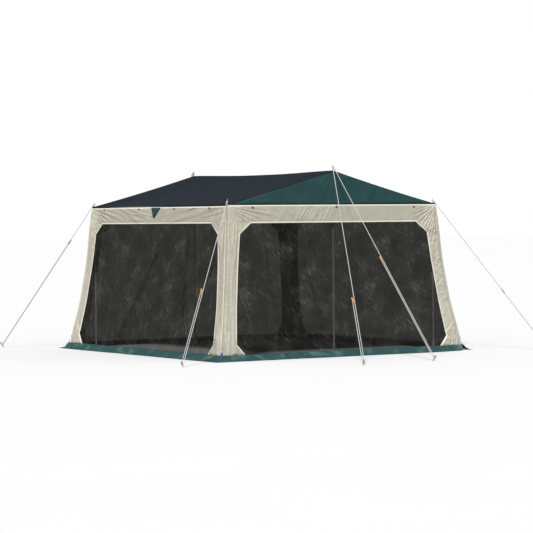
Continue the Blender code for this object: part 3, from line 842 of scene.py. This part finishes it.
def build_roof():
    """Two slopes with their hems, the ridge seam, and a gable end at the front and at the rear."""
    cos, sin = math.cos(ROOF_PITCH), math.sin(ROOF_PITCH)
    slopes = []
    for name, sign in (("left", -1), ("right", 1)):
        panel = Panel(Z * (RIDGE_Z + 0.002), Y * sign, X * sign * cos - Z * sin, Z, slope_shape(sign))
        slopes.append(panel)
        piece = sheet_piece(f"roof_canopy_{name}", panel,
                            [block(steps(0.0, SLOPE_LENGTH, 0.022), -ROOF_END_Y, ROOF_END_Y, 150)],
                            slope_cloth, "root", slot="slope_cloth")
        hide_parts(f"roof_slope_{name}")
        eave = [(-ROOF_END_Y, SLOPE_LENGTH - 0.001), (ROOF_END_Y, SLOPE_LENGTH - 0.001)]
        hem = ribbon_piece(f"roof_eave_hem_{name}", [ribbon_mesh(panel, eave, EAVE_HEM)], dark_tape, "root")
        ends = []
        for end in (-1, 1):
            line = [(end * (ROOF_END_Y - 0.001), 0.004), (end * (ROOF_END_Y - 0.001), SLOPE_LENGTH - 0.002)]
            section = [(-end * across, lift) for across, lift in END_HEM]
            ends.append(ribbon_mesh(panel, line, section[:: -end]))
        end_hem = ribbon_piece(f"roof_end_hem_{name}", ends, dark_tape, "root")

    left, right = slopes
    along = np.linspace(-ROOF_END_Y, ROOF_END_Y, 160)
    lines = []
    for across, lift in RIDGE_SEAM:
        panel, sign = (left, -1) if across < 0 else (right, 1)
        lines.append(panel.place(np.stack([along * sign, np.full_like(along, abs(across))], -1), lift))
    ridge = strip_mesh(lines, along, [across for across, _ in RIDGE_SEAM])
    mesh_piece("roof_ridge_seam", *ridge, dark_tape, "root", RIBBON_THICKNESS)

    foot = RIDGE_Z - WALL_TOP_Z - TOP_LAP - 0.004
    for name, sign in (("front", -1), ("rear", 1)):
        origin = Y * sign * (ROOF_END_Y + 0.0015) + Z * RIDGE_Z
        panel = Panel(origin, X * -sign, -Z, Y * sign, gable_shape(81 + sign))
        rows = steps(0.001, foot, 0.016)
        half = np.minimum(gable_half(rows), HALF_X)
        piece = sheet_piece(f"roof_end_{name}", panel, [block(rows, -half, half, 150)], gable_cloth, "root",
                            slot="gable_cloth")
        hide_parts(f"roof_gable_{name}")
        line = [(-HALF_X, foot - 0.006), (HALF_X, foot - 0.006)]
        hem = ribbon_piece(f"roof_end_foot_hem_{name}", [ribbon_mesh(panel, line, FOOT_HEM)], green_tape,
                           "root")


# ---- eave tabs


def build_tab(wall):
    """The pointed flap in the middle of a long eave, with its hem and its cord ring."""
    origin = wall.origin + wall.down * TAB_DROP + wall.push * TAB_STANDOFF

    def shape(u, s):
        share = s / TAB_HEIGHT
        fold = 0.006 * np.exp(-(((u + 0.028) / 0.012) ** 2)) + 0.004 * np.exp(-(((u - 0.040) / 0.016) ** 2))
        twist = 0.014 * share ** 2 * u / TAB_HALF_WIDTH
        return 0.005 * share * (1 - share) + fold * smooth(s / 0.02) + twist

    panel = Panel(origin, wall.along, wall.down - wall.along * 0.25, wall.push, shape)
    rows = steps(0.0, TAB_HEIGHT, CLOTH_STEP)
    half = np.interp(rows, [0.0, TAB_HEIGHT], [TAB_HALF_WIDTH, TAB_TIP])
    body = f"{wall.name}_tab"
    piece = sheet_piece(f"{body}_cloth", panel, [block(rows, -half, half, 30)], gable_cloth, body,
                        slot="gable_cloth")
    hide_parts(f"{wall.name}_eave_tab")
    edge = [(-TAB_HALF_WIDTH, 0.001), (-TAB_TIP, TAB_HEIGHT), (TAB_TIP, TAB_HEIGHT),
            (TAB_HALF_WIDTH, 0.001)]
    hem = ribbon_piece(f"{body}_hem", [ribbon_mesh(panel, edge, TAB_HEM, CLOTH_STEP)], green_tape, body)
    tip = origin + panel.down * TAB_HEIGHT
    cord = [tip + wall.down * d + wall.push * 0.002 + wall.along * a
            for d, a in ((-0.010, 0.001), (0.004, 0.003), (0.014, 0.001), (0.020, -0.001), (0.023, -0.004))]
    ring = [tip + wall.down * (0.029 + 0.0075 * math.sin(t)) + wall.along * 0.0075 * math.cos(t)
            + wall.push * 0.003 for t in np.linspace(0, 2 * math.pi, 20)]
    loop = mesh_piece(f"{body}_ring", *merged([tube_mesh(cord, 0.0015, 6), tube_mesh(ring, 0.0017, 8)]),
                      cream_tape, body)


# ---- corners


def corner_frame(end, side):
    """A corner's signs in x and y, and the directions down its seam and out from it."""
    xs, ys = (-1 if side == "left" else 1), (-1 if end == "front" else 1)
    seam = unit(np.array([xs * FLARE, ys * FLARE, FOOT_Z - EAVE_Z]))
    out = np.array([xs, ys, 0.0]) / math.sqrt(2)
    return xs, ys, seam, unit(out - seam * out.dot(seam))


def build_corner(end, side):
    """The corner zip with its cover, the piping beside it and the webbing loop at its foot."""
    xs, ys, seam, out = corner_frame(end, side)
    top = np.array([xs * HALF_X, ys * HALF_Y, EAVE_Z])
    foot = np.array([xs * (HALF_X + FLARE), ys * (HALF_Y + FLARE), FOOT_Z])
    beside = np.cross(seam, out) * xs * ys
    length = np.linalg.norm(foot - top)
    run = steps(0.014, length, 0.02)
    wander = 0.0016 * noise(run * 3.0, run * 0, 90 + xs + 2 * ys)
    inwards = np.array([xs, ys, math.tan(LEAN)]) * math.cos(LEAN)

    def seam_line(run):
        return top + np.outer(run, seam) - np.outer(drawn_in(run * -seam[2] / math.cos(LEAN)), inwards)

    def along_seam(aside, lift):
        return seam_line(run) + np.outer(aside + wander, beside) + lift * out

    cover_width = np.linspace(ZIP_COVER[0][0], ZIP_COVER[-1][0], len(ZIP_COVER))
    cover = strip_mesh([along_seam(aside, lift) for aside, lift in ZIP_COVER], run, cover_width)
    mesh_piece(f"zip_tape_{end}_{side}", *cover, seam_tape, "root", 0.0008)
    tooth = np.arange(0.03, length - 0.01, 0.0016)
    teeth = seam_line(tooth) + np.outer(np.interp(tooth, run, wander), beside) + out * 0.0046
    sizes = np.where(np.arange(len(tooth)) % 2 == 0, 0.0030, 0.0020)
    tube_piece(f"zip_coil_{end}_{side}", teeth, sizes, mauve_coil if xs == ys else cream_coil, "root", 6)
    tube_piece(f"corner_piping_{end}_{side}", along_seam(0.0125, -0.0050), 0.0036, cream_tape, "root")

    ankle = foot - seam * 0.045
    loop = np.array([ankle + out * (0.004 + 0.020 * math.sin(t)) + seam * 0.026 * (1 - math.cos(t))
                     for t in np.linspace(0.15, math.pi - 0.15, 14)])
    webbing = strip_mesh([loop + beside * aside for aside in WEBBING], np.linspace(0, 0.07, len(loop)),
                         WEBBING)
    mesh_piece(f"foot_loop_{end}_{side}", *webbing, violet_webbing, "root", 0.0012)


def build_zip_pull(end, side):
    """Zip slider with a bridge and a long puller tab with a hole."""
    low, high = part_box(f"zip_pull_{end}_{side}")
    centre = np.array((low + high) / 2)
    _, _, seam, out = corner_frame(end, side)
    beside = np.cross(seam, out)
    outline = ellipse(0.0, -0.0010, 0.0034, 0.0035, 0.0, math.pi, 9)  # a narrow head and a round foot
    outline += ellipse(0.0, -0.0145, 0.0045, 0.0045, math.pi, 2 * math.pi, 11)
    hole = ellipse(0.0, -0.0130, 0.0018, 0.0030)
    plate_piece(f"zip_tab_{end}_{side}", (outline, hole), 0.0006, 0.0005, 2, zip_steel,
                centre + out * 0.0012, (beside, -seam, np.cross(beside, -seam)), f"zip_{end}_{side}")
    barrel = [centre - seam * (0.015 - d) - out * 0.0020
              for d in (0.0, 0.0012, 0.004, 0.009, 0.0118, 0.013)]
    bridge = [centre - seam * (0.0065 + 0.0045 * math.cos(t)) + out * (-0.001 + 0.0035 * math.sin(t))
              for t in np.linspace(0, math.pi, 9)]
    slider = merged([tube_mesh(barrel, [0.002, 0.0040, 0.0046, 0.0038, 0.0032, 0.002], 10),
                     tube_mesh(bridge, 0.0009, 6)])
    slider = mesh_piece(f"zip_slider_{end}_{side}", *slider, zip_steel, f"zip_{end}_{side}",
                        slot="zip_metal")
    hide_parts(f"zip_pull_{end}_{side}")


# ---- poles


def lathe(profile, place, sides):
    """A turned shape from a profile of (radius, height)."""
    turns = np.linspace(0.0, 2 * math.pi, sides, endpoint=False)
    points, uv = [], []
    for radius, height in profile:
        radius = max(radius, 0.00005)
        points += [(place[0] + radius * math.cos(t), place[1] + radius * math.sin(t), height)
                   for t in turns]
        uv += [(height, t * radius) for t in turns]
    return np.array(points), lathe_faces(len(profile), sides), np.array(uv)


def build_pole(name, x, y, radius, roof_z, pin_top):
    """A steel pole: a rubber foot, two tubes with a swaged joint, and a top pin."""
    joint = roof_z / 2
    shoulder = roof_z - 0.008
    neck = radius - 0.0016
    foot = [(0.0, 0.0), (radius + 0.0022, 0.0), (radius + 0.0036, 0.002), (radius + 0.0036, 0.020),
            (radius + 0.0024, 0.0245), (radius + 0.0024, 0.027), (radius, 0.0285), (radius - 0.002, 0.0285)]
    lower = [(radius - 0.002, 0.020), (radius, 0.021), (radius, joint - 0.012),
             (radius - 0.0004, joint - 0.006), (neck, joint - 0.002), (neck, joint + 0.050),
             (0.0, joint + 0.050)]
    upper = [(neck, joint + 0.0005), (radius - 0.0002, joint), (radius, joint + 0.0008),
             (radius, joint + 0.018), (radius - 0.0004, joint + 0.019), (radius, joint + 0.020),
             (radius, shoulder - 0.004), (radius - 0.0012, shoulder - 0.0012),
             (radius - 0.0030, shoulder), (0.0030, shoulder)]
    pin = [(0.0029, shoulder - 0.002), (0.0029, pin_top - 0.004), (0.0024, pin_top - 0.0012),
           (0.0014, pin_top), (0.0, pin_top)]
    pieces = (("foot", foot, rubber, 28), ("lower", lower, pole_steel, 28),
              ("upper", upper, pole_steel, 28), ("pin", pin, pin_steel, 16))
    for part, profile, material, sides in pieces:
        piece = mesh_piece(f"{name}_{part}_tube", *lathe(profile, (x, y), sides), material, "root",
                           slot="pole_steel")
        piece.data.update()
        piece.data.set_sharp_from_angle(angle=math.radians(40))
        if part in ("lower", "upper"):
            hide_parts(f"{name}_{part}")


def build_grommet(name, centre, normal):
    """The metal eyelet that a pole's pin passes through."""
    turn = Vector(normal).to_track_quat("Z", "Y").to_matrix()
    ring = [np.array(Vector(centre) + turn @ Vector((0.0085 * math.cos(t), 0.0085 * math.sin(t), 0.0012)))
            for t in np.linspace(0, 2 * math.pi, 25)]
    tube_piece(name, ring, 0.0022, pin_steel, "root")


# ---- guy lines


def winding(centre, axis, radius, turns, pitch):
    """A helix about an axis, for a knot's wraps."""
    axis = unit(axis)
    side = unit(np.cross(axis, X if abs(axis[0]) < 0.8 else Y))
    angle = np.linspace(0, 2 * math.pi * turns, round(14 * turns) + 1)
    rise = (angle / (2 * math.pi) - turns / 2) * pitch
    return (centre + np.outer(rise, axis) + np.outer(np.cos(angle) * radius, side)
            + np.outer(np.sin(angle) * radius, np.cross(axis, side)))


def rear_name(name):
    """The name of a front guy line's copy at the rear, turned by half a turn."""
    swaps = {"front": "rear", "left": "right", "right": "left"}
    return "_".join(swaps.get(word, word) for word in name.split("_"))


def build_guy(name, at, start_z, pegs, along, half_turn):
    """A guy line: the standing rope round its peg, the strand back to the runner, and its knots."""
    at, peg = np.array([*at, 0.0]), np.array([*pegs[half_turn], 0.0])
    if half_turn:
        name, at, peg = rear_name(name), -at, -peg
    body = f"slider_{name}"
    outward = unit(peg - at)
    across = np.cross(Z, outward)
    centre = peg + Z * PEG_ROPE_Z
    start = at + outward * ROPE_START + Z * start_z
    run = centre + across * STRAND_HALF - start
    down = unit(run)
    runner = start + run * along[half_turn] - across * STRAND_HALF

    count = round(np.linalg.norm(run) / ROPE_STEP)
    standing = [start + run * share for share in np.linspace(0.0, 1.0, count)]
    for turn in np.linspace(0.0, math.pi, 13)[1:]:
        standing.append(centre + (across * math.cos(turn) + down * math.sin(turn)) * STRAND_HALF)
    back = centre - across * STRAND_HALF
    end = runner - across * STRAND_HALF - down * (SLIDER_SIZE[2] / 2 + 0.012)
    returning = np.linspace(back, end, round(np.linalg.norm(end - back) / ROPE_STEP))
    rope = tube_piece(f"guy_line_{name}", standing, ROPE_RADIUS, braid, "root", 10, 3, 0.05, "rope_fibre")
    strand = tube_piece(f"guy_return_{name}", returning, ROPE_RADIUS, braid, None, 10, 3, 0.05,
                        "rope_fibre")
    for piece in (rope, strand):
        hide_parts(f"guy_rope_{name}")
    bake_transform(strand)

    knot_line = winding(end - down * 0.004, down, 0.0062, 2.4, 0.0066)
    knot = tube_piece(f"guy_knot_{name}", knot_line, 0.0034, braid, body, slot="rope_fibre")
    pin_top = at + Z * start_z
    neck = [pin_top + outward * d + Z * h for d, h in ((0.004, 0.002), (0.012, 0.001), (0.024, -0.010))]
    tail = [start + down * 0.026 + across * 0.004, start + down * 0.036 + across * 0.012 - Z * 0.004,
            start + down * 0.044 + across * 0.014 - Z * 0.014]
    loop = merged([tube_mesh(winding(pin_top, Z, 0.0068, 1.15, 0.004), 0.0034), tube_mesh(neck, 0.0030),
                   tube_mesh(winding(start + down * 0.016, down, 0.0062, 3.3, 0.0066), 0.0034),
                   tube_mesh(tail, 0.0030)])
    top = mesh_piece(f"guy_pin_loop_{name}", *loop, braid, "root", slot="rope_fibre")
    slider = build_runner(name, runner, across, down, body)
    peg = build_peg(name, centre, outward)


def build_runner(name, centre, across, down, body):
    """The plastic runner: a waisted plate with a hole for each strand."""
    level = unit(across - down * across.dot(down))
    width, thickness, length = SLIDER_SIZE
    bevel = 0.0016
    radius = thickness / 2 - bevel - 0.0004
    reach = width / 2 - bevel - radius
    outline = []
    for sign in (1, -1):
        start = -sign * math.pi / 2
        outline += ellipse(sign * reach, 0.0, radius, radius, start, start + math.pi, 9)
        outline.append((0.0, sign * radius * 0.80))
    holes = [ellipse(x, 0.0, 0.0050, 0.0046, count=16) for x in (-STRAND_HALF, STRAND_HALF)]
    piece = plate_piece(f"guy_runner_{name}", (outline, *holes), length / 2 - bevel, bevel, 3, orange,
                        centre, (level, np.cross(down, level), down), body)
    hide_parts(f"guy_slider_{name}")
    return piece


def build_peg(name, centre, outward):
    """A steel rod peg, leaning away from the pull, with its end bent over into a hook."""
    lean = math.radians(25)
    radius = 0.004
    axis = outward * math.sin(lean) + Z * math.cos(lean)
    side = outward * math.cos(lean) - Z * math.sin(lean)
    foot = centre - axis * ((centre[2] - radius * math.sin(lean) - 0.0002) / axis[2])
    shank, bend = 0.058, 0.011
    points = [foot + axis * shank * share for share in np.linspace(0.0, 1.0, 9)]
    for turn in np.linspace(0.0, math.pi, 13)[1:]:
        points.append(foot + axis * (shank + bend * math.sin(turn)) + side * bend * (1 - math.cos(turn)))
    points += [points[-1] - axis * drop for drop in (0.0070, 0.0125, 0.0140)]
    sizes = np.full(len(points), radius)
    sizes[-2:] = (radius * 0.94, radius * 0.6)
    peg = tube_piece(f"guy_hook_{name}", points, sizes, peg_steel, "root", 14, slot="peg_steel")
    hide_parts(f"guy_peg_{name}")
    return peg


# ---- camera, light and floor


def build_camera():
    """A long lens from far off at a standing person's eye height, as in the photograph."""
    yaw, pitch, roll = math.radians(32.40), math.radians(-1.206), math.radians(-0.51)
    ahead = Vector((math.sin(yaw) * math.cos(pitch), math.cos(yaw) * math.cos(pitch), math.sin(pitch)))
    right = Vector((math.cos(yaw), -math.sin(yaw), 0.0))
    up = right.cross(ahead)
    level = right * math.cos(roll) + up * math.sin(roll)
    up = up * math.cos(roll) - right * math.sin(roll)
    data = bpy.data.cameras.new("camera")
    data.sensor_width = 36.0
    data.lens = 153.6
    data.clip_end = 300.0
    camera = new_object("camera", data)
    turn = Matrix((level, up, -ahead)).transposed().to_4x4()
    camera.matrix_world = Matrix.Translation((-15.26, -24.18, 1.636)) @ turn
    bpy.context.scene.camera = camera


def build_stage():
    """A wide pale floor under soft sky light and one broad key light."""
    world = bpy.data.worlds.new("studio")
    world.use_nodes = True
    nodes, links = world.node_tree.nodes, world.node_tree.links
    sky = nodes["Background"]
    sky.inputs["Strength"].default_value = 0.40
    backdrop = nodes.new("ShaderNodeBackground")
    backdrop.inputs["Strength"].default_value = 1.0
    for shade in (sky, backdrop):
        shade.inputs["Color"].default_value = (1.0, 1.0, 1.0, 1.0)
    mix = nodes.new("ShaderNodeMixShader")
    links.new(nodes.new("ShaderNodeLightPath").outputs["Is Camera Ray"], mix.inputs["Fac"])
    links.new(sky.outputs[0], mix.inputs[1])
    links.new(backdrop.outputs[0], mix.inputs[2])
    links.new(mix.outputs[0], nodes["World Output"].inputs["Surface"])
    bpy.context.scene.world = world

    for name, direction, strength, spread in (
        ("key", (0.55, 0.55, -0.85), 3.4, 10.0),
        ("fill", (-0.8, 0.5, -0.35), 0.25, 60.0),
    ):
        data = bpy.data.lights.new(name, "SUN")
        data.energy = strength
        data.angle = math.radians(spread)
        light = new_object(name, data)
        light.rotation_mode = "QUATERNION"
        light.rotation_quaternion = Vector(direction).to_track_quat("-Z", "Y")

    finish = Finish("floor_paper", 0.9, uv=False)
    seen = finish.add("LightPath").outputs["Is Camera Ray"]
    paper = finish.math("ADD", finish.math("MULTIPLY", finish.noise(0.6, 2.0), 0.02), 0.82)
    share = finish.math("ADD", finish.math("MULTIPLY", seen, 0.60), 0.40)
    finish.colour(finish.math("MULTIPLY", paper, share))
    corners = [(x * FLOOR_HALF, y * FLOOR_HALF, 0.0) for x, y in ((-1, -1), (1, -1), (1, 1), (-1, 1))]
    floor = mesh_piece("floor", corners, [(0, 1, 2, 3)], [c[:2] for c in corners], finish.material, None)
    floor.location.z = -0.0005


# ---- the whole house


build_camera()
build_stage()
bpy.context.scene.view_settings.view_transform = "Standard"

walls = [
    Wall("front", HALF_X, (0.0, -1.0, 0.0), 1, (0.7, 1.7)),
    Wall("rear", HALF_X, (0.0, 1.0, 0.0), 12, (0.8, 1.5)),
    Wall("left", HALF_Y, (-1.0, 0.0, 0.0), 25, (1.1, 0.8)),
    Wall("right", HALF_Y, (1.0, 0.0, 0.0), 33, (1.1, 0.9)),
]
for wall in walls:
    build_wall(wall)
    build_skirt(wall)
    if wall.has_tab:
        build_toggles(wall, [(u, 0.023) for u in (-1.310, -0.410, 0.450, 1.290)])
        build_tab(wall)
    else:
        build_toggles(wall, [(-1.155, 0.020), (0.03, 0.018), (1.17, 0.022)])
build_roof()
for end, y in (("front", -POLE_Y), ("rear", POLE_Y)):
    build_pole(f"main_pole_{end}", 0.0, y, 0.011, RIDGE_Z, RIDGE_Z + 0.075)
    build_grommet(f"ridge_grommet_{end}", (0.0, y, RIDGE_Z + 0.004), (0, 0, 1))
    for side, x in (("left", -POLE_X), ("right", POLE_X)):
        build_pole(f"corner_pole_{end}_{side}", x, y, 0.0095, EAVE_Z, EAVE_Z + 0.070)
        lean = math.copysign(math.sin(ROOF_PITCH), x)
        build_grommet(f"corner_grommet_{end}_{side}", (x, y, EAVE_Z + 0.0075),
                      (lean, 0, math.cos(ROOF_PITCH)))
        build_corner(end, side)
        build_zip_pull(end, side)
for half_turn in (False, True):
    for guy in GUYS:
        build_guy(*guy, half_turn)

bpy.context.view_layer.update()
